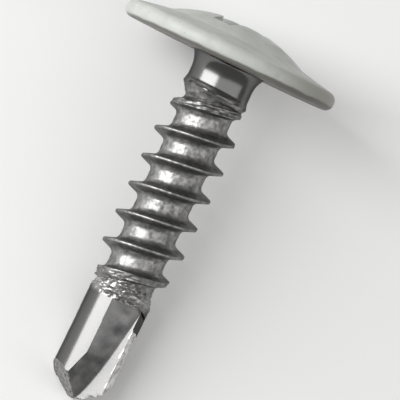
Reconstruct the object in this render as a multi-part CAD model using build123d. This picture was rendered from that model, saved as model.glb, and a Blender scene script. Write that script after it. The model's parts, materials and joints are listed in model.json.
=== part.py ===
from build123d import *
from math import ceil, cos, radians, sin, sqrt, tan
import os

# A self drilling screw with a broad wafer head, cold formed from one piece of wire.
# Lengths are in millimetres and angles in degrees.
# It is drawn upright, with its axis on Z and the underside of the flange at height zero.
# Angles round the axis run anticlockwise from +X, seen from the head.
# At the end it is laid down on the flange and the drill point, as it comes to rest.

# Head
head_diameter = 11.65
head_height = 2.18
flange_edge = 0.87
rim_radius = 0.42
rim_chamfer = 0.25
dome_diameter = 7.3
dome_radius = 7.9
head_runout = 0.15
head_runout_angle = 180
head_lean = 1

# Cross recess for the driver
recess_span = 5.05
recess_arm_width = 1.07
recess_depth = 1.9
recess_end_slope = 27
recess_side_draft = 5
recess_corner_radius = 1.2
recess_bottom_corner_radius = 0.45
recess_point_depth = 0.45
recess_angle = -26

# Neck and overall length
length_under_head = 18.7
neck_diameter = 3.38
neck_fillet = 0.45
neck_length = 1.72
neck_swell = 0.09
neck_swell_length = 0.35
neck_end_slope = 38

# Thread
thread_diameter = 4.2
core_diameter = 2.74
thread_pitch = 1.557
knee_diameter = 3.24
flank_angle = 23.5
root_angle = 46
thread_start_angle = 12
fade_start_diameter = 3.2
fade_angle = 12.6
runout_length = 2.23
runout_angle = 15.4

# Drill point
drill_diameter = 3.27
drill_length = 5.75
shoulder_slope = 25
drill_lean = 1.1
flute_length = 5.5
flute_angle = -22
half_web = 0.37
root_growth = 0.43
root_lead = 0.1
flute_root_radius = 0.12
heel_angle = 78
heel_relief_length = 2.5
heel_relief_rate = 12.3
lip_slope = 33
relief_slope = 33

# How far one feature runs into the next, so that they join as one body
thread_sink = 0.12
body_sink = 0.4

# Straight stretches that make up the curved root of the flute
flute_steps = 8

# Limits of the search for the angle at which it rests
steepest_rest = 45
trial_rounds = 40

# Values worked out from the sizes above
head_radius = head_diameter / 2
neck_radius = neck_diameter / 2
core_radius = core_diameter / 2
thread_radius = thread_diameter / 2
drill_radius = drill_diameter / 2
tip_height = -length_under_head
drill_top = tip_height + drill_length
lip_rise = tan(radians(lip_slope))
relief_rise = tan(radians(relief_slope))
chisel_rise = half_web * relief_rise
shoulder_height = (drill_radius - core_radius + body_sink) / tan(radians(shoulder_slope))
drill_pivot = Pos(0, 0, drill_top + shoulder_height)
drill_place = drill_pivot * Rot(0, drill_lean, 0) * drill_pivot.inverse()
head_shift = Vector(head_runout, 0, 0).rotate(Axis.Z, head_runout_angle)
head_axis = Vector(0, 0, 1).rotate(Axis.Y, head_lean)
head_place = Pos(head_shift) * Rot(0, head_lean, 0)


def dome_height(radius):
    """Height of the spherical dome at a distance from the head's axis."""
    return head_height - dome_radius + sqrt(dome_radius**2 - radius**2)


def head_blank():
    """Broad flange, its edge rounded above and chamfered below, and a low dome on it."""
    dome_edge = dome_diameter / 2
    edge_height = dome_height(dome_edge)
    dome = ThreePointArc(
        (0, head_height),
        (dome_edge / 2, dome_height(dome_edge / 2)),
        (dome_edge, edge_height),
    )
    cone = Line((dome_edge, edge_height), (head_radius, flange_edge))
    rim = Polyline((head_radius, flange_edge), (head_radius, 0), (0, 0), (0, head_height))
    section = make_face([dome, cone, rim])
    top_corner = section.vertices().sort_by_distance((head_radius, flange_edge))[0]
    section = fillet(top_corner, rim_radius)
    under_corner = section.vertices().sort_by_distance((head_radius, 0))[0]
    section = chamfer(under_corner, rim_chamfer)
    return revolve(Plane.XZ * section, Axis.Z)


def cross(span, width, corner):
    """Outline of the recess: two crossed arms with rounded inner corners."""
    arms = Rectangle(span, width) + Rectangle(width, span)
    inner = arms.vertices().sort_by_distance((0, 0))[:4]
    return fillet(inner, corner)


def cross_recess():
    """Tapered arms down to their floor, then a shallow point in the middle."""
    mouth = dome_height(recess_span / 2)
    floor = head_height - recess_depth
    end_gain = 2 * tan(radians(recess_end_slope))
    side_gain = 2 * tan(radians(recess_side_draft))
    top_rise = head_height - mouth
    floor_drop = mouth - floor
    floor_span = recess_span - end_gain * floor_drop
    top = cross(
        recess_span + end_gain * top_rise,
        recess_arm_width + side_gain * top_rise,
        recess_corner_radius,
    )
    bottom = cross(
        floor_span,
        recess_arm_width - side_gain * floor_drop,
        recess_bottom_corner_radius,
    )
    arms = loft([Pos(0, 0, head_height) * top, Pos(0, 0, floor) * bottom])
    floor_block = extrude(Pos(0, 0, floor) * bottom, -recess_point_depth)
    point = Cone(0, floor_span / 2, recess_point_depth, align=(Align.CENTER, Align.CENTER, Align.MAX))
    return Rot(0, 0, recess_angle) * (arms + (floor_block & Pos(0, 0, floor) * point))


def neck():
    """Plain neck, with the swell that thread rolling pushes up at its end."""
    swell_radius = neck_radius + neck_swell
    end_radius = core_radius - body_sink
    end = -neck_length - (swell_radius - end_radius) / tan(radians(neck_end_slope))
    outline = Polyline(
        (0, body_sink),
        (neck_radius, body_sink),
        (neck_radius, -neck_length + neck_swell_length),
        (swell_radius, -neck_length),
        (end_radius, end),
        (0, end),
        (0, body_sink),
    )
    return revolve(Plane.XZ * make_face(outline), Axis.Z)


def head_and_neck():
    """Head set on the neck, a little off its centre and upright, with a fillet between them."""
    blank = head_place * head_blank() + neck()
    under_head = blank.edges().sort_by_distance((0, 0, 0))[0]
    return fillet(under_head, neck_fillet) - head_place * cross_recess()


def thread_section():
    """Section of the ridge, its crest at the middle of the height and its foot in the core."""
    knee_radius = knee_diameter / 2
    foot_radius = core_radius - thread_sink
    knee = (thread_radius - knee_radius) * tan(radians(flank_angle))
    foot = knee + (knee_radius - foot_radius) * tan(radians(root_angle))
    outline = Polyline(
        (thread_radius, 0),
        (knee_radius, knee),
        (foot_radius, foot),
        (foot_radius, -foot),
        (knee_radius, -knee),
        (thread_radius, 0),
    )
    return Plane.XZ * make_face(outline)


def thread_envelope():
    """Turned shape that the crests fill, low at both ends of the thread."""
    top = 0
    bottom = tip_height
    inner = fade_start_diameter / 2
    outer = thread_radius + body_sink
    fade = (outer - inner) / tan(radians(fade_angle))
    runout_rate = tan(radians(runout_angle))
    runout_inner = thread_radius - runout_length * runout_rate
    runout_start = drill_top + runout_length + (outer - thread_radius) / runout_rate
    outline = Polyline(
        (0, top),
        (inner, top),
        (inner, -neck_length),
        (outer, -neck_length - fade),
        (outer, runout_start),
        (runout_inner, drill_top),
        (runout_inner, bottom),
        (0, bottom),
        (0, top),
    )
    return revolve(Plane.XZ * make_face(outline), Axis.Z)


def threaded_bar():
    """Core with a right-hand ridge round it, turn by turn, faded out at both ends."""
    length = -neck_length - drill_top
    helix = Helix(thread_pitch, thread_pitch, core_radius)
    turn = Rot(0, 0, thread_start_angle) * sweep(thread_section(), path=helix, is_frenet=True)
    envelope = thread_envelope()
    bar = Pos(0, 0, drill_top) * Cylinder(core_radius, length, align=(Align.CENTER, Align.CENTER, Align.MIN))
    for k in range(ceil(length / thread_pitch)):
        bar = bar + (Pos(0, 0, drill_top + k * thread_pitch) * turn & envelope)
    return bar


def drill_blank():
    """Shoulder and cylinder of the drill, drawn past the tip by its own radius."""
    top = drill_top + shoulder_height
    end = tip_height - drill_radius
    outline = Polyline(
        (0, top),
        (core_radius - body_sink, top),
        (drill_radius, drill_top),
        (drill_radius, end),
        (0, end),
        (0, top),
    )
    return revolve(Plane.XZ * make_face(outline), Axis.Z)


def root_reach(height):
    """Distance of the flute's root along the rake wall, at a height above the tip."""
    return sqrt(root_growth * (height + root_lead))


def heel_direction(height):
    """Angle from the lip back to the heel edge, at a height above the tip."""
    return heel_angle + heel_relief_rate * max(heel_relief_length - height, 0)


def flute_section(height):
    """V between the flat rake wall and the heel wall, open to the outside."""
    outside = drill_diameter
    root = Vector(root_reach(height), -half_web)
    heel = Vector(drill_radius, 0).rotate(Axis.Z, -heel_direction(height))
    past_heel = heel + (heel - root)
    outline = Polyline(
        (outside, -half_web),
        (root.X, root.Y),
        (past_heel.X, past_heel.Y),
        (outside, -outside),
        (outside, -half_web),
    )
    section = make_face(outline)
    corner = section.vertices().sort_by_distance((root.X, root.Y))[0]
    return Pos(0, 0, tip_height + height) * fillet(corner, flute_root_radius)


def flute_cutter():
    """One straight flute, whose root nears the axis towards the tip as a parabola."""
    shares = [(k / flute_steps) ** 2 for k in range(flute_steps, -1, -1)]
    heights = [(flute_length + root_lead) * share - root_lead for share in shares]
    return loft([flute_section(height) for height in heights], ruled=True)


def flank_cutter():
    """Block under the flat flank behind one lip."""
    level = tip_height - chisel_rise
    normal = Vector(-lip_rise, -relief_rise, 1)
    on_lip = Vector(0, -half_web, level)
    width = 3 * drill_diameter
    block = Box(width, width, width, align=(Align.CENTER, Align.CENTER, Align.MAX))
    return Plane(origin=on_lip, z_dir=normal) * block


def drill_point(screw):
    """Two flutes and two flanks, half a turn apart."""
    for side in (0, 180):
        screw = screw - Rot(0, 0, flute_angle + side) * flank_cutter()
    for side in (0, 180):
        screw = screw - Rot(0, 0, flute_angle + side) * flute_cutter()
    return screw


def upright_screw():
    """The whole screw, head up."""
    return head_and_neck() + threaded_bar() + drill_place * drill_point(drill_blank())


def lip_corner():
    """Outer corner of a cutting lip, where it meets the land."""
    reach = sqrt(drill_radius**2 - half_web**2)
    return Vector(reach, -half_web, tip_height + lip_rise * reach - chisel_rise)


def heel_corner():
    """Corner across the same flute, where the heel edge runs into the other flank."""
    height = 0
    for _ in range(trial_rounds):
        edge = Vector(drill_radius, 0).rotate(Axis.Z, -heel_direction(height))
        height = relief_rise * (half_web - edge.Y) - lip_rise * edge.X - chisel_rise
    return Vector(edge.X, edge.Y, tip_height + height)


def flute_corners():
    """Where the lip corner and the heel corner of the flute that faces down end up."""
    turn = flute_angle + 180
    corners = (lip_corner(), heel_corner())
    return [(drill_place * Pos(corner.rotate(Axis.Z, turn))).position for corner in corners]


def resting_plane():
    """Floor under the flange rim and the two corners of the flute that faces down."""
    lip, heel = flute_corners()
    chord = (lip - heel).normalized()
    along = (Vector(0, 0, 1) - chord * chord.Z).normalized()
    across = chord.cross(along)
    rim_centre = head_shift + head_axis * rim_chamfer
    low = -steepest_rest
    high = 0
    for _ in range(trial_rounds):
        tilt = (low + high) / 2
        down = across * cos(radians(tilt)) + along * sin(radians(tilt))
        edge_on = sqrt(1 - down.dot(head_axis) ** 2)
        rim = rim_centre.dot(down) + head_radius * edge_on
        if down.dot(lip) > rim:
            low = tilt
        else:
            high = tilt
    towards_head = Vector(0, 0, 1) + down * -down.Z
    return Plane(origin=(0, 0, 0), x_dir=towards_head, z_dir=-down)


def laid_down(screw):
    """The screw at rest, its length along X, over the middle of its footprint."""
    screw = resting_plane().to_local_coords(screw)
    box = screw.bounding_box()
    middle = box.center()
    return Pos(-middle.X, -middle.Y, -box.min.Z) * screw


screw = laid_down(upright_screw())
os.makedirs("parts", exist_ok=True)
export_step(screw, "parts/screw.step")
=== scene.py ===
import json
from math import atan2, ceil, cos, degrees, exp, hypot, pi, radians, sin, sqrt, tan

import bpy
from mathutils import Matrix, Vector, noise


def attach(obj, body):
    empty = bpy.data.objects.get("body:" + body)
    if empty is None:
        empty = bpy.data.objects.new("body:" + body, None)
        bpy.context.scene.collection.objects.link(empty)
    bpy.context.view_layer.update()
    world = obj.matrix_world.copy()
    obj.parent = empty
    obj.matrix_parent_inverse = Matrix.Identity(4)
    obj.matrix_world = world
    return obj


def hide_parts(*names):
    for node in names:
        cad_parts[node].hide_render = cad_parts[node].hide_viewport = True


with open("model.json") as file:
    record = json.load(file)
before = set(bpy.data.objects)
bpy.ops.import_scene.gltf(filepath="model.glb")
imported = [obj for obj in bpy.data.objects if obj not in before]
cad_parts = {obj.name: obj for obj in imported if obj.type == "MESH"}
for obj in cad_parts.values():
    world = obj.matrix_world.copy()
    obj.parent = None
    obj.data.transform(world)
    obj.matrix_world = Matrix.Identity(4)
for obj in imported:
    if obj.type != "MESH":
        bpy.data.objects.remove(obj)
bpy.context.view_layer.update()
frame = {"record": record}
print("stage: frame loaded")

# The screw's own directions, from the mounts in the record
mounts = {mount["name"]: mount for mount in frame["record"]["mounts"]}
shank = {
    "axis": -Vector(mounts["thread"]["axis"]).normalized(),   # from the tip towards the head
    "middle": Vector(mounts["thread"]["pos_m"]),              # a point on the shank's axis
    "underHead": 7.4e-3,                                      # from there to the flange's underside
    "roll": radians(11.96),                                   # how far it has rolled on the floor
}
flangePoint = shank["middle"] + shank["axis"] * shank["underHead"]
levelAcross = shank["axis"].cross(Vector((0, 0, 1))).normalized()
acrossAxis = Matrix.Rotation(-shank["roll"], 3, shank["axis"]) @ levelAcross
frontAxis = acrossAxis.cross(shank["axis"])

# The screw is modelled upright in millimetres, the flange's underside at height zero
# and its front towards -Y. These turn that into its place on the floor, in metres.
uprightTurn = Matrix((acrossAxis, -frontAxis, shank["axis"])).transposed().to_4x4()
laidDown = Matrix.Translation(flangePoint) @ uprightTurn @ Matrix.Scale(1e-3, 4)

# Corners closer than this are welded, in millimetres
weldDistance = 1e-4


def activate(piece):
    # Leaves this piece alone selected, in object mode
    if bpy.context.object and bpy.context.object.mode == "EDIT":
        bpy.ops.object.mode_set(mode="OBJECT")
    bpy.ops.object.select_all(action="DESELECT")
    piece.select_set(True)
    bpy.context.view_layer.objects.active = piece


def drawOutline(name, points):
    # A chain of edges in the XZ plane, drawn by extruding one corner from point to point
    bpy.ops.object.select_all(action="DESELECT")
    bpy.ops.mesh.primitive_plane_add(size=1)
    piece = bpy.context.object
    piece.name = name
    bpy.ops.object.mode_set(mode="EDIT")
    bpy.ops.mesh.merge(type="CENTER")
    bpy.ops.transform.translate(value=(points[0][0], 0, points[0][1]))
    for last, new in zip(points, points[1:]):
        step = (new[0] - last[0], 0, new[1] - last[1])
        bpy.ops.mesh.extrude_region_move(TRANSFORM_OT_translate={"value": step})
    bpy.ops.object.mode_set(mode="OBJECT")
    return piece


def arcPoints(centre, radius, start, end, steps):
    turns = [radians(start + (end - start) * k / steps) for k in range(steps + 1)]
    return [(centre[0] + radius * cos(t), centre[1] + radius * sin(t)) for t in turns]


def linePoints(start, end, spacing):
    steps = max(1, round(hypot(end[0] - start[0], end[1] - start[1]) / spacing))
    across = end[0] - start[0]
    up = end[1] - start[1]
    return [(start[0] + across * k / steps, start[1] + up * k / steps) for k in range(steps + 1)]


def curvePoints(corners, steps):
    # A Bezier curve through the first and last of three or four corners
    points = []
    for k in range(steps + 1):
        t = k / steps
        level = [Vector(corner) for corner in corners]
        while len(level) > 1:
            level = [a.lerp(b, t) for a, b in zip(level, level[1:])]
        points.append((level[0].x, level[0].y))
    return points


def joined(*stretches):
    # One list of points from several stretches that share their ends
    points = list(stretches[0])
    for stretch in stretches[1:]:
        points += stretch[1:]
    return points


def closeUp():
    # Seams and poles are merged and the faces turned outwards, in edit mode
    bpy.ops.mesh.select_all(action="SELECT")
    bpy.ops.mesh.remove_doubles(threshold=weldDistance)
    bpy.ops.mesh.normals_make_consistent(inside=False)


def spinRound(piece, segments):
    activate(piece)
    bpy.ops.object.mode_set(mode="EDIT")
    bpy.ops.mesh.select_all(action="SELECT")
    bpy.ops.mesh.spin(steps=segments, angle=2 * pi, center=(0, 0, 0), axis=(0, 0, 1))
    closeUp()
    bpy.ops.object.mode_set(mode="OBJECT")


def combine(piece, other, operation):
    activate(piece)
    change = piece.modifiers.new(operation, "BOOLEAN")
    change.operation = operation
    change.object = other
    change.solver = "EXACT"
    bpy.ops.object.modifier_apply(modifier=change.name)
    bpy.data.objects.remove(other)


def ring(name, points):
    # A closed outline with as many corners as there are points
    bpy.ops.object.select_all(action="DESELECT")
    bpy.ops.mesh.primitive_circle_add(vertices=len(points), radius=1, fill_type="NOTHING")
    piece = bpy.context.object
    piece.name = name
    for vertex, point in zip(piece.data.vertices, points):
        vertex.co = point
    return piece


def skin(name, outlines):
    # Bridges a row of outlines and fills both ends
    rings = [ring(name, points) for points in outlines]
    activate(rings[0])
    for other in rings[1:]:
        other.select_set(True)
    bpy.ops.object.join()
    piece = rings[0]
    bpy.ops.object.mode_set(mode="EDIT")
    bpy.ops.mesh.select_all(action="SELECT")
    bpy.ops.mesh.bridge_edge_loops()
    bpy.ops.mesh.select_all(action="DESELECT")
    bpy.ops.mesh.select_non_manifold()
    bpy.ops.mesh.edge_face_add()
    closeUp()
    bpy.ops.object.mode_set(mode="OBJECT")
    return piece


# Wafer head, in millimetres
head = {
    "diameter": 11.65,
    "height": 2.18,
    "edge": 0.87,             # height at which the cone would meet the rim
    "rimRadius": 0.42,
    "domeDiameter": 7.3,
    "domeRadius": 7.9,
    "blend": 0.12,            # half the width of the hollow at the dome's foot
    "offCentre": (-0.15, 0, 0),
    "lean": 1,                # degrees
    "segments": 224,
    "spacing": 0.14,
    "underSpacing": 0.2,
    "blendSteps": 8,
    "rimSteps": 12,
}
headPlace = Matrix.Translation(head["offCentre"]) @ Matrix.Rotation(radians(head["lean"]), 4, "Y")


def domeHeight(radius):
    return head["height"] - head["domeRadius"] + sqrt(head["domeRadius"] ** 2 - radius ** 2)


def modelHead():
    radius = head["diameter"] / 2
    domeEdge = head["domeDiameter"] / 2
    foot = domeHeight(domeEdge)
    slope = atan2(foot - head["edge"], radius - domeEdge)
    domeSlope = atan2(domeEdge, head["domeRadius"] - head["height"] + foot)
    domeEnd = domeEdge - head["blend"] * cos(domeSlope)
    blendEnd = (domeEdge + head["blend"] * cos(slope), foot - head["blend"] * sin(slope))
    dome = [(x, domeHeight(x)) for x, _ in linePoints((0, 0), (domeEnd, 0), head["spacing"])]
    blend = curvePoints([dome[-1], (domeEdge, foot), blendEnd], head["blendSteps"])
    r = head["rimRadius"]
    top = head["edge"] + r * tan(slope) - r / cos(slope)
    topArc = arcPoints((radius - r, top), r, 90 - degrees(slope), 0, head["rimSteps"])
    bottomArc = arcPoints((radius - r, r), r, 0, -90, head["rimSteps"])
    cone = linePoints(blend[-1], topArc[0], head["spacing"])
    under = linePoints(bottomArc[-1], (0, 0), head["underSpacing"])
    edge = topArc[-1:] + bottomArc
    piece = drawOutline("headBlank", joined(dome, blend, cone, topArc, edge, under))
    spinRound(piece, head["segments"])
    piece.data.transform(headPlace)
    return piece


# Cross recess for the driver, in millimetres and degrees
recess = {
    "span": 5.05,
    "armWidth": 1.07,
    "depth": 1.9,
    "endSlope": 27,
    "sideDraft": 5,
    "corner": 1.2,
    "bottomCorner": 0.45,
    "point": 0.45,
    "angle": -26,
    "cornerSteps": 6,
    "levels": 8,
    "above": 0.2,             # how far the cutter stands above the dome
    "pointShare": 1 / 50,     # size of the point against the recess's floor
}


def crossOutline(span, width, corner, height):
    # Two crossed arms with rounded inner corners, one quarter drawn four times
    half = width / 2
    reach = half + corner
    quarter = linePoints((span / 2, -half), (span / 2, half), width / 4)
    quarter += linePoints((span / 2, half), (reach, half), (span / 2 - reach) / 4)[1:-1]
    quarter += arcPoints((reach, reach), corner, 270, 180, recess["cornerSteps"])
    quarter += linePoints((half, reach), (half, span / 2), (span / 2 - reach) / 4)[1:-1]
    points = []
    for arm in range(4):
        turn = Matrix.Rotation(radians(90 * arm), 3, "Z")
        points += [turn @ Vector((x, y, height)) for x, y in quarter]
    return points


def modelRecess():
    mouth = domeHeight(recess["span"] / 2)
    floor = head["height"] - recess["depth"]
    top = head["height"] + recess["above"]
    endGain = 2 * tan(radians(recess["endSlope"]))
    sideGain = 2 * tan(radians(recess["sideDraft"]))
    outlines = []
    for k in range(recess["levels"] + 1):
        height = floor + (top - floor) * k / recess["levels"]
        rise = height - mouth
        share = (height - floor) / recess["depth"]
        corner = recess["bottomCorner"] + (recess["corner"] - recess["bottomCorner"]) * share
        span = recess["span"] + endGain * rise
        outlines.append(crossOutline(span, recess["armWidth"] + sideGain * rise, corner, height))
    share = recess["pointShare"]
    point = [Vector((p.x * share, p.y * share, floor - recess["point"])) for p in outlines[0]]
    piece = skin("recessCutter", [point] + outlines)
    piece.data.transform(headPlace @ Matrix.Rotation(radians(recess["angle"]), 4, "Z"))
    return piece


# Neck, in millimetres and degrees
neck = {
    "diameter": 3.38,
    "fillet": 0.45,
    "filletTail": 0.95,       # the fillet thins out this far down the neck
    "length": 1.72,
    "swell": 0.09,            # pushed up at its end as the thread was rolled
    "swellLength": 0.35,
    "endSlope": 38,
    "inside": 0.97,           # radius at which its end cone stops, within the thread's core
    "bite": 0.014,            # the fillet's foot lies this deep in the flange
    "sunk": 0.5,              # how far the blank reaches up into the head
    "sunkInset": 0.1,         # and how much narrower than the flare it is there
    "flareSteps": 16,
    "segments": 192,
    "spacing": 0.06,
}


def modelNeck():
    r = neck["diameter"] / 2
    f = neck["fillet"]
    swell = r + neck["swell"]
    inner = neck["inside"]
    spacing = neck["spacing"]
    tail = neck["filletTail"]
    steps = neck["flareSteps"]
    turns = [radians(90 + 90 * k / steps) for k in range(steps + 1)]
    flare = [(r + f + f * cos(t), neck["bite"] - tail + tail * sin(t)) for t in turns]
    straight = linePoints(flare[-1], (r, -neck["length"] + neck["swellLength"]), spacing)
    rise = linePoints(straight[-1], (swell, -neck["length"]), spacing)
    end = (inner, -neck["length"] - (swell - inner) / tan(radians(neck["endSlope"])))
    cone = linePoints(rise[-1], end, spacing)
    collar = [(0, neck["sunk"]), (r + f - neck["sunkInset"], neck["sunk"]), flare[0]]
    foot = [end, (0, end[1])]
    piece = drawOutline("neckBlank", joined(collar, flare, straight, rise, cone, foot))
    spinRound(piece, neck["segments"])
    lean = tan(radians(head["lean"]))
    for vertex in piece.data.vertices:       # the flare follows the leaning flange
        share = min(1, max(0, vertex.co.z / tail + 1))
        vertex.co.z -= lean * (vertex.co.x - head["offCentre"][0]) * share
    return piece


# Thread, in millimetres and degrees
thread = {
    "diameter": 4.2,
    "core": 2.74,
    "pitch": 1.557,
    "crestHalf": 0.056,       # half the width of the rolled crest
    "crestDrop": 0.024,
    "knee": 3.26,             # diameter at which the flank bends into the root
    "kneeHalf": 0.225,
    "rootGrip": 0.16,         # how far the root curve follows the flank
    "rootStart": 0.6,         # from the crest along the screw to the straight core
    "rootLead": 0.2,          # how far the root curve runs along the core
    "startAngle": 12,
    "fadeStart": 3.2,
    "fadeAngle": 12.6,
    "runout": 2.23,
    "runoutAngle": 15.4,
    "crestSteps": 3,
    "rootSteps": 9,
    "topCut": -0.8,           # the winding is cut off here, inside the neck
    "bottomCut": 0.1,         # and this far below the drill's top
    "segments": 168,
    "spacing": 0.065,
}

# Drill point, in millimetres and degrees
drill = {
    "diameter": 3.27,
    "length": 5.75,
    "tip": -18.7,
    "shoulderSlope": 25,
    "shoulderRadius": 0.5,
    "lean": 1.1,
    "fluteLength": 5.5,
    "fluteAngle": -22,
    "halfWeb": 0.37,
    "rootGrowth": 0.43,
    "rootLead": 0.1,
    "rootRadius": 0.12,
    "heelAngle": 78,
    "reliefLength": 2.5,
    "reliefRate": 12.3,
    "lipSlope": 33,
    "spare": 0.5,             # length of the blank past the tip
    "segments": 192,
    "spacing": 0.06,
    "shoulderSteps": 5,
    "fluteSteps": 70,
    "rootSteps": 6,
    "rakeSteps": 14,
    "heelSteps": 40,
    "stepGrowth": 1.4,        # the flute's sections stand closest at the tip
    "flankSize": 6.4,
    "flankGrid": 104,
}
# A flat knocked into the margin at the top of the flute
notch = {
    "angle": 70,
    "depth": 0.095,
    "height": 0.95,
    "middle": -13.85,
    "turn": 20,
    "width": 1.6,
    "thickness": 0.6,
    "slack": 1.1,             # faces down to this many times the depth belong to it
}
drillTop = drill["tip"] + drill["length"]
shoulderRise = (drill["diameter"] / 2 - neck["inside"]) / tan(radians(drill["shoulderSlope"]))
drillPivot = Matrix.Translation((0, 0, drillTop + shoulderRise))
drillPlace = drillPivot @ Matrix.Rotation(radians(drill["lean"]), 4, "Y") @ drillPivot.inverted()


def threadProfile():
    # Half a pitch from crest to root, then its mirror image
    crest = thread["diameter"] / 2
    half = thread["crestHalf"]
    drop = thread["crestDrop"]
    kneeRadius = thread["knee"] / 2
    knee = thread["kneeHalf"]
    core = thread["core"] / 2
    spacing = thread["spacing"]
    crestEnd = (crest - drop, half + drop / 2)
    edge = curvePoints([(crest, 0), (crest, half), crestEnd], thread["crestSteps"])
    flank = linePoints(edge[-1], (kneeRadius, knee), spacing)
    pull = Vector((kneeRadius - edge[-1][0], knee - edge[-1][1])).normalized() * thread["rootGrip"]
    grip = (kneeRadius + pull.x, knee + pull.y)
    start = thread["rootStart"]
    lead = (core, start - thread["rootLead"])
    root = curvePoints([(kneeRadius, knee), grip, lead, (core, start)], thread["rootSteps"])
    down = joined(edge, flank, root, linePoints(root[-1], (core, thread["pitch"] / 2), spacing))
    back = [(x, thread["pitch"] - z) for x, z in reversed(down[:-1])]
    return down + back


def threadLimit(z):
    # Radius that the crest may reach: low under the neck and towards the drill
    crest = thread["diameter"] / 2
    fade = thread["fadeStart"] / 2 + max(0, -neck["length"] - z) * tan(radians(thread["fadeAngle"]))
    rate = tan(radians(thread["runoutAngle"]))
    runout = crest + min(0, z - drillTop - thread["runout"]) * rate
    return min(crest, fade, max(runout, crest - thread["runout"] * rate))


def modelThread():
    turns = ceil((-neck["length"] - drillTop) / thread["pitch"]) + 2
    piece = drawOutline("threadBlank", threadProfile())
    activate(piece)
    winding = piece.modifiers.new("winding", "SCREW")
    winding.axis = "Z"
    winding.angle = 2 * pi
    winding.screw_offset = thread["pitch"]
    winding.iterations = turns
    winding.steps = thread["segments"]
    winding.render_steps = thread["segments"]
    winding.use_merge_vertices = True
    winding.merge_threshold = weldDistance
    bpy.ops.object.modifier_apply(modifier="winding")
    start = Matrix.Translation((0, 0, drillTop - 2 * thread["pitch"]))
    piece.data.transform(start @ Matrix.Rotation(radians(thread["startAngle"]), 4, "Z"))
    for vertex in piece.data.vertices:
        keep = min(1, threadLimit(vertex.co.z) / hypot(vertex.co.x, vertex.co.y))
        vertex.co.x *= keep
        vertex.co.y *= keep
    bpy.ops.object.mode_set(mode="EDIT")
    bpy.ops.mesh.select_all(action="SELECT")
    bpy.ops.mesh.remove_doubles(threshold=weldDistance)
    for height, side in ((thread["topCut"], 1), (drillTop - thread["bottomCut"], -1)):
        cut = {"plane_co": (0, 0, height), "plane_no": (0, 0, side)}
        bpy.ops.mesh.select_all(action="SELECT")
        bpy.ops.mesh.bisect(**cut, use_fill=True, clear_outer=True)
    closeUp()
    bpy.ops.object.mode_set(mode="OBJECT")
    return piece


def modelDrillBlank():
    r = drill["diameter"] / 2
    inner = neck["inside"]
    slope = radians(drill["shoulderSlope"])
    start = (inner, drillTop + shoulderRise)
    f = drill["shoulderRadius"]
    bend = f * tan(slope / 2)
    onCone = (r - bend * sin(slope), drillTop + bend * cos(slope))
    bendCentre = (r - f, drillTop - bend)
    arc = [onCone] + arcPoints(bendCentre, f, degrees(slope), 0, drill["shoulderSteps"])[1:]
    end = drill["tip"] - drill["spare"]
    top = [(0, start[1]), start]
    shoulder = linePoints(start, onCone, drill["spacing"])
    side = linePoints(arc[-1], (r, end), drill["spacing"])
    piece = drawOutline("drillBlank", joined(top, shoulder, arc, side, [side[-1], (0, end)]))
    spinRound(piece, drill["segments"])
    return piece


def fluteSection(height):
    # V between the flat rake wall and the heel wall, with a rounded root
    r = drill["diameter"] / 2
    outside = 2 * r
    web = drill["halfWeb"]
    reach = sqrt(drill["rootGrowth"] * (height + drill["rootLead"]))
    relief = drill["reliefRate"] * max(drill["reliefLength"] - height, 0)
    turnBack = radians(drill["heelAngle"] + relief)
    heel = Vector((r * cos(turnBack), -r * sin(turnBack)))
    root = Vector((reach, -web))
    wall = (heel - root).normalized()
    opening = Vector((1, 0)).angle(wall)
    back = drill["rootRadius"] / tan(opening / 2)
    centre = root + (Vector((1, 0)) + wall).normalized() * drill["rootRadius"] / sin(opening / 2)
    rakeLength = outside - root.x - back
    rake = linePoints((outside, -web), (root.x + back, -web), rakeLength / drill["rakeSteps"])
    corner = arcPoints(centre, drill["rootRadius"], 90, 270 - degrees(opening), drill["rootSteps"])
    start = root + wall * back
    far = heel + (heel - root)
    heelWall = linePoints(start, far, (far - start).length / drill["heelSteps"])
    outline = rake + corner[1:-1] + heelWall + [(outside, -outside)]
    return [Vector((x, y, drill["tip"] + height)) for x, y in outline]


def modelFlute(side):
    lead = drill["rootLead"]
    steps = drill["fluteSteps"]
    growth = drill["stepGrowth"]
    length = drill["fluteLength"] + lead
    heights = [length * (k / steps) ** growth - lead for k in range(steps + 1)]
    heights[0] += 1e-4        # just above the level where the V closes up
    piece = skin("fluteCutter", [fluteSection(height) for height in heights])
    piece.data.transform(Matrix.Rotation(radians(drill["fluteAngle"] + side), 4, "Z"))
    return piece


def modelFlank(side):
    # The waste under the flat flank behind one lip, its top finely divided
    rise = tan(radians(drill["lipSlope"]))
    level = drill["tip"] - drill["halfWeb"] * rise
    normal = Vector((-rise, -rise, 1)).normalized()
    bpy.ops.object.select_all(action="DESELECT")
    size = drill["flankSize"]
    grid = drill["flankGrid"]
    bpy.ops.mesh.primitive_grid_add(x_subdivisions=grid, y_subdivisions=grid, size=size)
    piece = bpy.context.object
    piece.name = "flankCutter"
    bpy.ops.object.mode_set(mode="EDIT")
    bpy.ops.mesh.select_all(action="SELECT")
    bpy.ops.mesh.extrude_region_move(TRANSFORM_OT_translate={"value": (0, 0, -size)})
    bpy.ops.mesh.dissolve_limited(angle_limit=radians(1), delimit={"NORMAL"})
    closeUp()
    bpy.ops.object.mode_set(mode="OBJECT")
    turn = normal.to_track_quat("Z", "Y").to_matrix().to_4x4()
    place = Matrix.Translation((0, -drill["halfWeb"], level)) @ turn
    piece.data.transform(Matrix.Rotation(radians(drill["fluteAngle"] + side), 4, "Z") @ place)
    return piece


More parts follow.
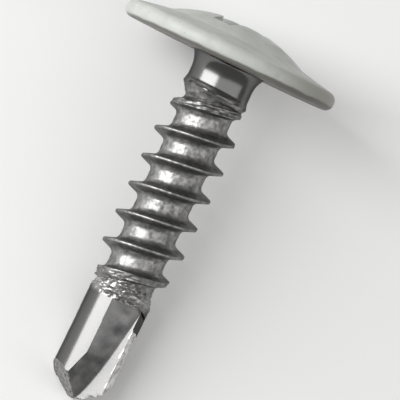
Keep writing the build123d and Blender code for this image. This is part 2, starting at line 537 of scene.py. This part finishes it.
def modelNotch():
    bpy.ops.mesh.primitive_cube_add(size=1)
    piece = bpy.context.object
    radius = drill["diameter"] / 2 - notch["depth"]
    turn = Matrix.Rotation(radians(notch["angle"]), 4, "Z")
    away = Matrix.Translation((0, -radius - notch["thickness"] / 2, notch["middle"]))
    tilt = Matrix.Rotation(radians(notch["turn"]), 4, "Y")
    size = Matrix.Diagonal((notch["width"], notch["thickness"], notch["height"], 1))
    piece.data.transform(turn @ away @ tilt @ size)
    return piece


def modelDrill():
    piece = modelDrillBlank()
    combine(piece, modelNotch(), "DIFFERENCE")
    for side in (0, 180):
        combine(piece, modelFlank(side), "DIFFERENCE")
    for side in (0, 180):
        combine(piece, modelFlute(side), "DIFFERENCE")
    piece.data.transform(drillPlace)
    return piece


# Marks of forming, rolling and wear, in millimetres. A reach is a distance from the axis,
# and two values are where something begins and where it is full.
marks = {
    "headFrom": -0.02,        # the head's marks end here, the shank's begin
    "rootGrain": 0.014,
    "rootGrainSize": 0.19,
    "rootReach": (1.5, 1.75),
    "streak": 0.009,
    "flankReach": (1.45, 1.7),
    "flankEnd": (1.95, 2.05),
    "crestNick": 0.05,
    "crestReach": (1.95, 2.07),
    "lapTop": -1.7,           # flaky laps between the neck and the first full turn
    "lapEnd": -3.4,
    "lapReach": (1.4, 1.5),
    "lapDepth": 0.042,
    "swellTilt": 0.05,        # the neck's swell sits lower on one side
    "swellZone": (-0.35, 0.55),
    "swellReach": (1.4, 1.6),
    "collarTop": -11.5,       # metal crumpled where the drill point was pinched
    "collarEnd": -13.12,
    "collarReach": (1.2, 1.35),
    "collarRise": 0.9,        # the crumpling grows over this length
    "collarDepth": 0.1,
    "tipDepth": 0.055,        # roughness of the flanks at the tip
    "tipGrainSize": 0.2,
    "tipZone": 1.7,           # the flanks end this far above the tip
    "tipFacing": -0.5,        # and face down at least this much
    "burr": 0.1,              # how far the torn edge of one flank is eaten away
    "burrReach": (1.15, 1.6),
    "burrSide": (0.2, -0.4),  # across the screw, towards the left
    "rimReach": (5.0, 5.5),
    "rimWave": 0.008,
    "paintWave": 0.004,
    "dentLimit": 8,           # squared distance, in widths, past which a dent isn't felt
    "sharpEdge": 38,          # degrees from which an edge is shaded sharp
}
# Dents in the front, each with its place across and along the screw, its width and its depth.
# One with a negative depth is a bump.
dents = [
    (0.62, -13.72, 0.22, 0.06),
    (0.59, -14.84, 0.3, 0.045),
    (0.3, -16.5, 0.26, 0.04),
    (-0.92, -18.42, 0.1, 0.09),
    (-1.15, -18.05, 0.16, 0.04),
    (2.52, 0.37, 0.11, 0.06),
    (2.4, 0.34, 0.09, -0.03),
]


def ramp(value, start, end):
    # 0 before the start, 1 past the end and smooth between them
    t = min(1, max(0, (value - start) / (end - start)))
    return t * t * (3 - 2 * t)


def band(value, low, high, edge):
    # 1 between low and high, with soft edges
    begun = ramp(value, low - edge / 2, low + edge / 2)
    ended = ramp(value, high - edge / 2, high + edge / 2)
    return begun * (1 - ended)


def grain(x, y, z, seed):
    # Noise at a place that is divided by the size of its spots; each seed gives another pattern
    return noise.noise(Vector((x + seed, y, z)))


def shankMark(place):
    # How far the shank's surface moves away from the axis
    reach = hypot(place.x, place.y)
    turn = atan2(place.x, -place.y)
    along = turn * reach
    across = place.z - thread["pitch"] * turn / (2 * pi)
    size = marks["rootGrainSize"]
    x, y, z = place / size
    shank = band(place.z, drillTop, -neck["length"], 0.3)
    root = shank * (1 - ramp(reach, *marks["rootReach"]))
    pits = grain(x, y, z, 3) + 0.6 * grain(2.1 * x, 2.1 * y, 1.3 * z, 9)
    mark = -marks["rootGrain"] * root * pits
    flank = shank * ramp(reach, *marks["flankReach"]) * (1 - ramp(reach, *marks["flankEnd"]))
    mark += marks["streak"] * flank * grain(along / 0.7, across / 0.1, 0, 21)
    crest = shank * ramp(reach, *marks["crestReach"])
    nick = max(0, grain(along / 0.42, 0, place.z / 2, 5))
    nick += 0.9 * max(0, grain(along / 0.13, 0, place.z, 14))
    mark -= marks["crestNick"] * crest * nick
    lap = band(place.z, marks["lapEnd"], marks["lapTop"], 0.6) * ramp(reach, *marks["lapReach"])
    flake = grain(along / 0.75, across / 0.11, 0, 33)
    flake += 0.5 * grain(along / 0.3, across / 0.06, 0, 41)
    mark += marks["lapDepth"] * lap * flake
    collar = band(place.z, marks["collarEnd"], marks["collarTop"], 0.14)
    collar *= ramp(reach, *marks["collarReach"])
    strength = ramp(place.z, marks["collarTop"], marks["collarTop"] - marks["collarRise"])
    fold = grain(along / 0.42, across / 0.13, 0, 52)
    fold += 0.6 * grain(along / 0.16, across / 0.1, 0, 60)
    mark += marks["collarDepth"] * collar * strength * fold
    return mark


def headMark(place):
    # The paint lies a little unevenly, most of all round the rim
    rim = ramp(hypot(place.x, place.y), *marks["rimReach"])
    wave = marks["rimWave"] * rim * (grain(place.x / 1.3, place.y / 1.3, place.z, 71) - 0.55)
    x, y, z = place / 0.4
    return wave + marks["paintWave"] * (grain(x, y, z, 77) - 0.5)


def flankMark(place, normal):
    # Roughness of a flank at the tip, and the torn edge of the one on the left
    x, y, z = place / marks["tipGrainSize"]
    out = Vector((place.x, place.y, 0)).normalized()
    rough = grain(x, y, z, 81) + 0.6 * grain(2.5 * x, 2.5 * y, 2.5 * z, 88) - 0.5
    torn = ramp(hypot(place.x, place.y), *marks["burrReach"])
    torn *= ramp(place.x, *marks["burrSide"])
    torn *= max(0, grain(x / 1.5, y / 1.5, z / 1.5, 95) + 0.25)
    return normal * marks["tipDepth"] * rough - out * marks["burr"] * torn


def markSurface(piece):
    swellLow, swellHigh = [end - neck["length"] for end in marks["swellZone"]]
    flankTop = drill["tip"] + marks["tipZone"]
    normals = [vertex.normal.copy() for vertex in piece.data.vertices]
    for vertex, normal in zip(piece.data.vertices, normals):
        place = vertex.co.copy()
        reach = hypot(place.x, place.y)
        out = Vector((place.x, place.y, 0)).normalized()
        if place.z > marks["headFrom"]:
            vertex.co += normal * headMark(place)
        else:
            vertex.co += out * shankMark(place)
            swell = band(place.z, swellLow, swellHigh, 0.4) * ramp(reach, *marks["swellReach"])
            vertex.co.z -= marks["swellTilt"] * place.x * swell
        if place.z < flankTop and normal.z < marks["tipFacing"]:
            vertex.co += flankMark(place, normal)
        if place.y < 0:
            for across, along, width, depth in dents:
                near = ((place.x - across) ** 2 + (place.z - along) ** 2) / width ** 2
                if near < marks["dentLimit"]:
                    vertex.co -= normal * depth * exp(-near)


def finishScrew(piece):
    piece.name = "screwBody"
    markSurface(piece)
    piece.data.transform(laidDown)
    piece.data.update()
    activate(piece)
    bpy.ops.object.shade_smooth_by_angle(angle=radians(marks["sharpEdge"]))


# Surface patterns are read in the screw's own upright millimetres
def uprightCoordinates(tree):
    nodes = tree.nodes
    source = nodes.new("ShaderNodeTexCoord")
    mapping = nodes.new("ShaderNodeMapping")
    back = uprightTurn.inverted()
    mapping.inputs["Location"].default_value = (back @ flangePoint) * -1e3
    mapping.inputs["Rotation"].default_value = back.to_euler()
    mapping.inputs["Scale"].default_value = (1e3, 1e3, 1e3)
    tree.links.new(source.outputs["Object"], mapping.inputs["Vector"])
    return mapping.outputs["Vector"]


def makeMottle():
    # Group shared by all the finishes: soft blotches, sparse specks and a fine height
    group = bpy.data.node_groups.new("mottle", "ShaderNodeTree")
    face = group.interface
    face.new_socket("Place", in_out="INPUT", socket_type="NodeSocketVector")
    for name in ("Blotches per mm", "Specks per mm", "Speck size", "Grain per mm"):
        face.new_socket(name, in_out="INPUT", socket_type="NodeSocketFloat")
    for name in ("Blotch", "Speck", "Height"):
        face.new_socket(name, in_out="OUTPUT", socket_type="NodeSocketFloat")
    nodes, links = group.nodes, group.links
    source = nodes.new("NodeGroupInput")
    result = nodes.new("NodeGroupOutput")
    blotch = nodes.new("ShaderNodeTexNoise")
    blotch.inputs["Detail"].default_value = 4
    blotch.inputs["Roughness"].default_value = 0.6
    specks = nodes.new("ShaderNodeTexVoronoi")
    near = nodes.new("ShaderNodeMath")
    near.operation = "LESS_THAN"
    height = nodes.new("ShaderNodeTexNoise")
    height.inputs["Detail"].default_value = 3
    links.new(source.outputs["Place"], blotch.inputs["Vector"])
    links.new(source.outputs["Blotches per mm"], blotch.inputs["Scale"])
    links.new(source.outputs["Place"], specks.inputs["Vector"])
    links.new(source.outputs["Specks per mm"], specks.inputs["Scale"])
    links.new(specks.outputs["Distance"], near.inputs[0])
    links.new(source.outputs["Speck size"], near.inputs[1])
    links.new(source.outputs["Place"], height.inputs["Vector"])
    links.new(source.outputs["Grain per mm"], height.inputs["Scale"])
    links.new(blotch.outputs["Fac"], result.inputs["Blotch"])
    links.new(near.outputs["Value"], result.inputs["Speck"])
    links.new(height.outputs["Fac"], result.inputs["Height"])
    return group


def placeMottle(tree, group, place, finish):
    node = tree.nodes.new("ShaderNodeGroup")
    node.node_tree = group
    tree.links.new(place, node.inputs["Place"])
    node.inputs["Blotches per mm"].default_value = finish["blotches"]
    node.inputs["Specks per mm"].default_value = finish["specks"]
    node.inputs["Speck size"].default_value = finish["speckSize"]
    node.inputs["Grain per mm"].default_value = finish["grain"]
    return node


def newMaterial(name, metallic):
    material = bpy.data.materials.new(name)
    material.use_nodes = True
    shader = material.node_tree.nodes["Principled BSDF"]
    shader.inputs["Metallic"].default_value = metallic
    return material, material.node_tree, shader


def rangeNode(tree, value, low, high, toLow, toHigh):
    node = tree.nodes.new("ShaderNodeMapRange")
    tree.links.new(value, node.inputs["Value"])
    node.inputs["From Min"].default_value = low
    node.inputs["From Max"].default_value = high
    node.inputs["To Min"].default_value = toLow
    node.inputs["To Max"].default_value = toHigh
    return node.outputs["Result"]


def mathNode(tree, operation, first, second):
    node = tree.nodes.new("ShaderNodeMath")
    node.operation = operation
    for socket, value in zip(node.inputs, (first, second)):
        if isinstance(value, (int, float)):
            socket.default_value = value
        else:
            tree.links.new(value, socket)
    return node.outputs["Value"]


def mixColour(tree, share, first, second):
    node = tree.nodes.new("ShaderNodeMix")
    node.data_type = "RGBA"
    tree.links.new(share, node.inputs["Factor"])
    for socket, value in zip(node.inputs[6:8], (first, second)):      # its two colours
        if isinstance(value, tuple):
            socket.default_value = (*value, 1)
        else:
            tree.links.new(value, socket)
    return node.outputs[2]


def bumpNode(tree, height, strength, distance):
    node = tree.nodes.new("ShaderNodeBump")
    node.inputs["Strength"].default_value = strength
    node.inputs["Distance"].default_value = distance
    tree.links.new(height, node.inputs["Height"])
    return node.outputs["Normal"]


# Pale paint on the head, darker along the rim's lower edge, with painted shade towards the rim's
# right end
paint = {
    "pale": (0.56, 0.58, 0.545),
    "dull": (0.48, 0.498, 0.463),
    "speck": (0.3, 0.29, 0.25),
    # colour of the painted shade on the rim's right end
    "paintedShade": (0.22, 0.2, 0.17),
    "paintedShadeRange": (1.6, 5.2),  # across the screw in mm, along the rim, over which the painted shade grows
    "paintedShadeTop": 1.0,           # height in mm above which the rim has no painted shade
    "darkEdge": (0.09, 0.082, 0.068),
    "darkEdgeTop": 0.2,            # height in mm that the dark edge reaches on the rim
    "darkEdgeWander": 0.08,        # how far that height wanders up and down
    "edge": 2.25,             # radius in mm at which the paint stops under the head
    "under": -0.012,          # height in mm down to which the underside is painted
    "all": 0.1,               # height in mm above which the whole head is
    "blotchRange": (0.35, 0.68),
    "roughness": (0.38, 0.5),
    "gloss": 0.3,
    "blotches": 0.9,
    "specks": 1.6,
    "speckSize": 0.045,
    "grain": 9,
}


def makePaint(group):
    material, tree, shader = newMaterial("headPaint", 0)
    place = uprightCoordinates(tree)
    mottle = placeMottle(tree, group, place, paint)
    blotch = mottle.outputs["Blotch"]
    split = tree.nodes.new("ShaderNodeSeparateXYZ")
    tree.links.new(place, split.inputs[0])
    across, height = split.outputs["X"], split.outputs["Z"]
    share = rangeNode(tree, blotch, *paint["blotchRange"], 0, 1)
    colour = mixColour(tree, share, paint["pale"], paint["dull"])
    colour = mixColour(tree, mottle.outputs["Speck"], colour, paint["speck"])
    # Painted shade: the rim's colour darkens towards its right end
    paintedShadeShare = rangeNode(tree, across, *paint["paintedShadeRange"], 0, 0.75)
    onRim = rangeNode(tree, height, paint["paintedShadeTop"], paint["paintedShadeTop"] - 0.2, 0, 1)
    paintedShadeShare = mathNode(tree, "MULTIPLY", paintedShadeShare, onRim)
    paintedShadeShare = mathNode(tree, "MULTIPLY", paintedShadeShare, rangeNode(tree, blotch, 0.3, 0.7, 1, 0.7))
    colour = mixColour(tree, paintedShadeShare, colour, paint["paintedShade"])
    # The rim's colour is darker along its lower edge, up to a height that wanders with the blotches
    wander = paint["darkEdgeWander"]
    darkEdgeHeight = rangeNode(tree, blotch, 0, 1, paint["darkEdgeTop"] + wander, paint["darkEdgeTop"] - wander)
    level = mathNode(tree, "SUBTRACT", height, darkEdgeHeight)
    darkEdge = rangeNode(tree, level, 0.05, -0.05, 0, 0.85)
    colour = mixColour(tree, darkEdge, colour, paint["darkEdge"])
    tree.links.new(colour, shader.inputs["Base Color"])
    rough = rangeNode(tree, blotch, 0.3, 0.7, *paint["roughness"])
    tree.links.new(rough, shader.inputs["Roughness"])
    shader.inputs["Specular IOR Level"].default_value = paint["gloss"]
    tree.links.new(bumpNode(tree, mottle.outputs["Height"], 0.35, 1.2e-5), shader.inputs["Normal"])
    return material


# Plated steel: smooth on the neck and the drill's land, rough where the thread was rolled
steel = {
    "smoothColour": (0.155, 0.154, 0.153),
    "dark": (0.19, 0.19, 0.193),
    "light": (0.42, 0.416, 0.41),
    "collar": (0.54, 0.535, 0.53),
    "speck": (0.06, 0.058, 0.056),
    "edgeTint": (0.38, 0.38, 0.38, 1),
    "smooth": 0.21,
    "rough": 0.46,
    "blotchRange": (0.36, 0.66),
    "threadTop": (-1.3, -2.1),    # heights in mm between which the rough thread begins
    "threadEnd": (-0.3, 0.1),     # and, from the drill's top, between which it ends
    "bare": (-0.7, -1.1),         # from the collar's top, where its bright colour begins
    "blotches": 3.2,
    "specks": 4.5,
    "speckSize": 0.07,
    "grain": 16,
}


def makeSteel(group):
    material, tree, shader = newMaterial("platedSteel", 1)
    place = uprightCoordinates(tree)
    mottle = placeMottle(tree, group, place, steel)
    blotch = mottle.outputs["Blotch"]
    split = tree.nodes.new("ShaderNodeSeparateXYZ")
    tree.links.new(place, split.inputs[0])
    height = split.outputs["Z"]
    top = rangeNode(tree, height, *steel["threadTop"], 0, 1)
    threadEnd = [drillTop + rise for rise in steel["threadEnd"]]
    end = rangeNode(tree, height, *threadEnd, 0, 1)
    threaded = mathNode(tree, "MULTIPLY", top, end)
    share = rangeNode(tree, blotch, *steel["blotchRange"], 0, 1)
    colour = mixColour(tree, share, steel["light"], steel["dark"])
    bareStart = [marks["collarTop"] + rise for rise in steel["bare"]]
    bare = rangeNode(tree, height, *bareStart, 0, 0.7)
    colour = mixColour(tree, bare, colour, steel["collar"])
    colour = mixColour(tree, threaded, steel["smoothColour"], colour)
    specks = mathNode(tree, "MULTIPLY", mottle.outputs["Speck"], threaded)
    colour = mixColour(tree, specks, colour, steel["speck"])
    tree.links.new(colour, shader.inputs["Base Color"])
    shader.inputs["Specular Tint"].default_value = steel["edgeTint"]
    dull = mathNode(tree, "MULTIPLY", rangeNode(tree, blotch, 0.35, 0.7, 0.6, 1), threaded)
    rough = rangeNode(tree, dull, 0, 1, steel["smooth"], steel["rough"])
    tree.links.new(rough, shader.inputs["Roughness"])
    grainShare = rangeNode(tree, threaded, 0, 1, 0.25, 1)
    deep = mathNode(tree, "MULTIPLY", mottle.outputs["Height"], grainShare)
    tree.links.new(bumpNode(tree, deep, 0.5, 1.4e-5), shader.inputs["Normal"])
    return material


# The flutes, dull as the pinching dies left them
flute = {
    "dark": (0.19, 0.19, 0.193),
    "light": (0.33, 0.327, 0.322),
    "roughness": (0.36, 0.5),
    "blotches": 1.3,
    "specks": 3.5,
    "speckSize": 0.05,
    "grain": 10,
    "depth": 0.03,                # a face this far inside the drill's cylinder is a flute's
    "marginAngles": (48, 102),    # degrees from the front between which the margin lies
    "below": 0.25,                # mm from the drill's top down to where its finishes begin
}


def makeFluteSteel(group):
    material, tree, shader = newMaterial("formedSteel", 1)
    mottle = placeMottle(tree, group, uprightCoordinates(tree), flute)
    share = rangeNode(tree, mottle.outputs["Blotch"], *steel["blotchRange"], 0, 1)
    colour = mixColour(tree, share, flute["dark"], flute["light"])
    colour = mixColour(tree, mottle.outputs["Speck"], colour, steel["speck"])
    tree.links.new(colour, shader.inputs["Base Color"])
    tree.links.new(rangeNode(tree, share, 0, 1, *flute["roughness"]), shader.inputs["Roughness"])
    tree.links.new(bumpNode(tree, mottle.outputs["Height"], 0.3, 1e-5), shader.inputs["Normal"])
    return material


# The margin behind each cutting edge, rubbed bright, and the torn flanks at the tip
rubbedMargin = {
    "bright": (0.74, 0.735, 0.725),
    "dull": (0.36, 0.357, 0.352),
    "blotches": 2.6,
    "specks": 5,
    "speckSize": 0.09,
    "grain": 10,
}
tornFlank = {
    "bright": (0.4, 0.395, 0.385),
    "dull": (0.09, 0.089, 0.087),
    "blotches": 6.5,
    "specks": 5,
    "speckSize": 0.09,
    "grain": 10,
    "zone": 1.8,              # the finish ends this far above the tip
    "facing": -0.45,          # and lies on faces that look down at least this much
}


def makePatchySteel(name, group, finish):
    material, tree, shader = newMaterial(name, 1)
    mottle = placeMottle(tree, group, uprightCoordinates(tree), finish)
    share = rangeNode(tree, mottle.outputs["Blotch"], 0.42, 0.62, 0, 0.9)
    colour = mixColour(tree, share, finish["bright"], finish["dull"])
    colour = mixColour(tree, mottle.outputs["Speck"], colour, steel["dark"])
    tree.links.new(colour, shader.inputs["Base Color"])
    tree.links.new(rangeNode(tree, share, 0, 1, *flute["roughness"]), shader.inputs["Roughness"])
    return material


def drillFinish(place, facing):
    # Torn on the flanks, dull in the flutes, rubbed on the margins and plated elsewhere
    if facing.z < tornFlank["facing"] and place.z < drill["tip"] + tornFlank["zone"]:
        return "tornSteel"
    radius = drill["diameter"] / 2
    angle = degrees(atan2(place.x, -place.y)) % 180
    reach = hypot(place.x, place.y)
    onMargin = flute["marginAngles"][0] < angle < flute["marginAngles"][1]
    atNotch = place.z > notch["middle"] - notch["height"] / 2
    if onMargin and atNotch and reach > radius - notch["slack"] * notch["depth"]:
        return "platedSteel"
    if reach < radius - flute["depth"]:
        return "formedSteel"
    return "rubbedSteel" if onMargin else "platedSteel"


def dressScrew(piece):
    group = makeMottle()
    materials = piece.data.materials
    materials.clear()
    for make in (makeSteel, makePaint, makeFluteSteel):
        materials.append(make(group))
    materials.append(makePatchySteel("rubbedSteel", group, rubbedMargin))
    materials.append(makePatchySteel("tornSteel", group, tornFlank))
    slots = {material.name: slot for slot, material in enumerate(materials)}
    toHead = headPlace.inverted() @ laidDown.inverted()
    toDrill = drillPlace.inverted() @ laidDown.inverted()
    turnToDrill = toDrill.to_3x3().normalized()
    for face in piece.data.polygons:
        onHead = toHead @ face.center
        onDrill = toDrill @ face.center
        outside = hypot(onHead.x, onHead.y) > paint["edge"]
        if onHead.z > paint["all"] or onHead.z > paint["under"] and outside:
            face.material_index = slots["headPaint"]
        elif onDrill.z < drillTop - flute["below"]:
            face.material_index = slots[drillFinish(onDrill, turnToDrill @ face.normal)]


# Camera, as in the photograph: nearly square to the shank, which leans in the picture
view = {
    "towardsTip": radians(-0.3),    # how far the camera stands towards the tip
    "lean": radians(24.92),         # of the shank from the picture's vertical
    "distance": 0.32,
    "picture": 400,                 # pixels across
    "pixel": 1 / 19.75e3,           # metres that one pixel spans at the screw
    "flangePixel": (228.9, 64.2),   # underside of the flange on the shank's axis
    "sensor": 36,
    "nearest": 0.01,
    "farthest": 10,
}
tilt = view["towardsTip"]
lookBack = (frontAxis * cos(tilt) - shank["axis"] * sin(tilt)).normalized()
axisInPicture = (shank["axis"] - lookBack * shank["axis"].dot(lookBack)).normalized()
pictureRight = axisInPicture * sin(view["lean"]) + acrossAxis * cos(view["lean"])
pictureUp = lookBack.cross(pictureRight)
middleRight = (view["picture"] / 2 - view["flangePixel"][0]) * view["pixel"]
middleUp = (view["flangePixel"][1] - view["picture"] / 2) * view["pixel"]
pictureMiddle = flangePoint + pictureRight * middleRight + pictureUp * middleUp


def placeCamera():
    data = bpy.data.cameras.new("camera")
    data.sensor_width = view["sensor"]
    data.lens = view["sensor"] * view["distance"] / (view["picture"] * view["pixel"])
    data.clip_start = view["nearest"]
    data.clip_end = view["farthest"]
    camera = bpy.data.objects.new("camera", data)
    bpy.context.scene.collection.objects.link(camera)
    turn = Matrix((pictureRight, pictureUp, lookBack)).transposed().to_4x4()
    camera.matrix_world = Matrix.Translation(pictureMiddle + lookBack * view["distance"]) @ turn
    bpy.context.scene.camera = camera


# Studio: a softbox to the left of the screw, a wide weaker one to its right, a dim room and a
# pale floor. Sizes and distances are in metres, turns in degrees.
keyLight = {
    "left": 43,
    "up": 3.5,
    "width": 0.26,
    "height": 0.098,
    "distance": 0.22,
    "strength": 6.2,
}
sideLight = {
    "left": -35,
    "up": 2,
    "width": 0.72,
    "height": 0.15,
    "distance": 0.36,
    "strength": 1.2,
}
studio = {
    "room": (0.28, 0.277, 0.272),
    "floor": (0.95, 0.95, 0.95),
    "floorSize": 1.2,
    "floorRoughness": 0.9,
}


def softLight(name, box):
    # A rectangle that faces the screw, its height along the shank
    data = bpy.data.lights.new(name, "AREA")
    data.shape = "RECTANGLE"
    data.size = box["width"]
    data.size_y = box["height"]
    data.energy = box["strength"] * box["width"] * box["height"] * pi
    lamp = bpy.data.objects.new(name, data)
    bpy.context.scene.collection.objects.link(lamp)
    left = radians(box["left"])
    up = radians(box["up"])
    level = frontAxis * cos(left) - acrossAxis * sin(left)
    back = level * cos(up) + shank["axis"] * sin(up)
    right = shank["axis"].cross(back).normalized()
    turn = Matrix((right, back.cross(right), back)).transposed().to_4x4()
    lamp.matrix_world = Matrix.Translation(flangePoint + back * box["distance"]) @ turn
    lamp.visible_camera = False


def lightStage():
    softLight("keyLight", keyLight)
    softLight("sideLight", sideLight)
    world = bpy.data.worlds.new("studio")
    world.use_nodes = True
    world.node_tree.nodes["Background"].inputs["Color"].default_value = (*studio["room"], 1)
    bpy.context.scene.world = world


def makeFloor():
    bpy.ops.mesh.primitive_plane_add(size=studio["floorSize"])
    floor = bpy.context.object
    floor.name = "floor"
    material = bpy.data.materials.new("paleFloor")
    material.use_nodes = True
    shader = material.node_tree.nodes["Principled BSDF"]
    shader.inputs["Base Color"].default_value = (*studio["floor"], 1)
    shader.inputs["Roughness"].default_value = studio["floorRoughness"]
    floor.data.materials.append(material)


placeCamera()
lightStage()
makeFloor()
print("stage: camera, light and floor")

bpy.ops.object.select_all(action="DESELECT")
screw = modelHead()
print("stage: head blank")
combine(screw, modelNeck(), "UNION")
combine(screw, modelThread(), "UNION")
print("stage: neck and thread")
combine(screw, modelDrill(), "UNION")
print("stage: drill point")
combine(screw, modelRecess(), "DIFFERENCE")
finishScrew(screw)
print("stage: recess and surface marks")
dressScrew(screw)
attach(screw, "root")
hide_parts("screw")
print("stage: finishes")

bpy.context.scene.view_settings.view_transform = "Standard"
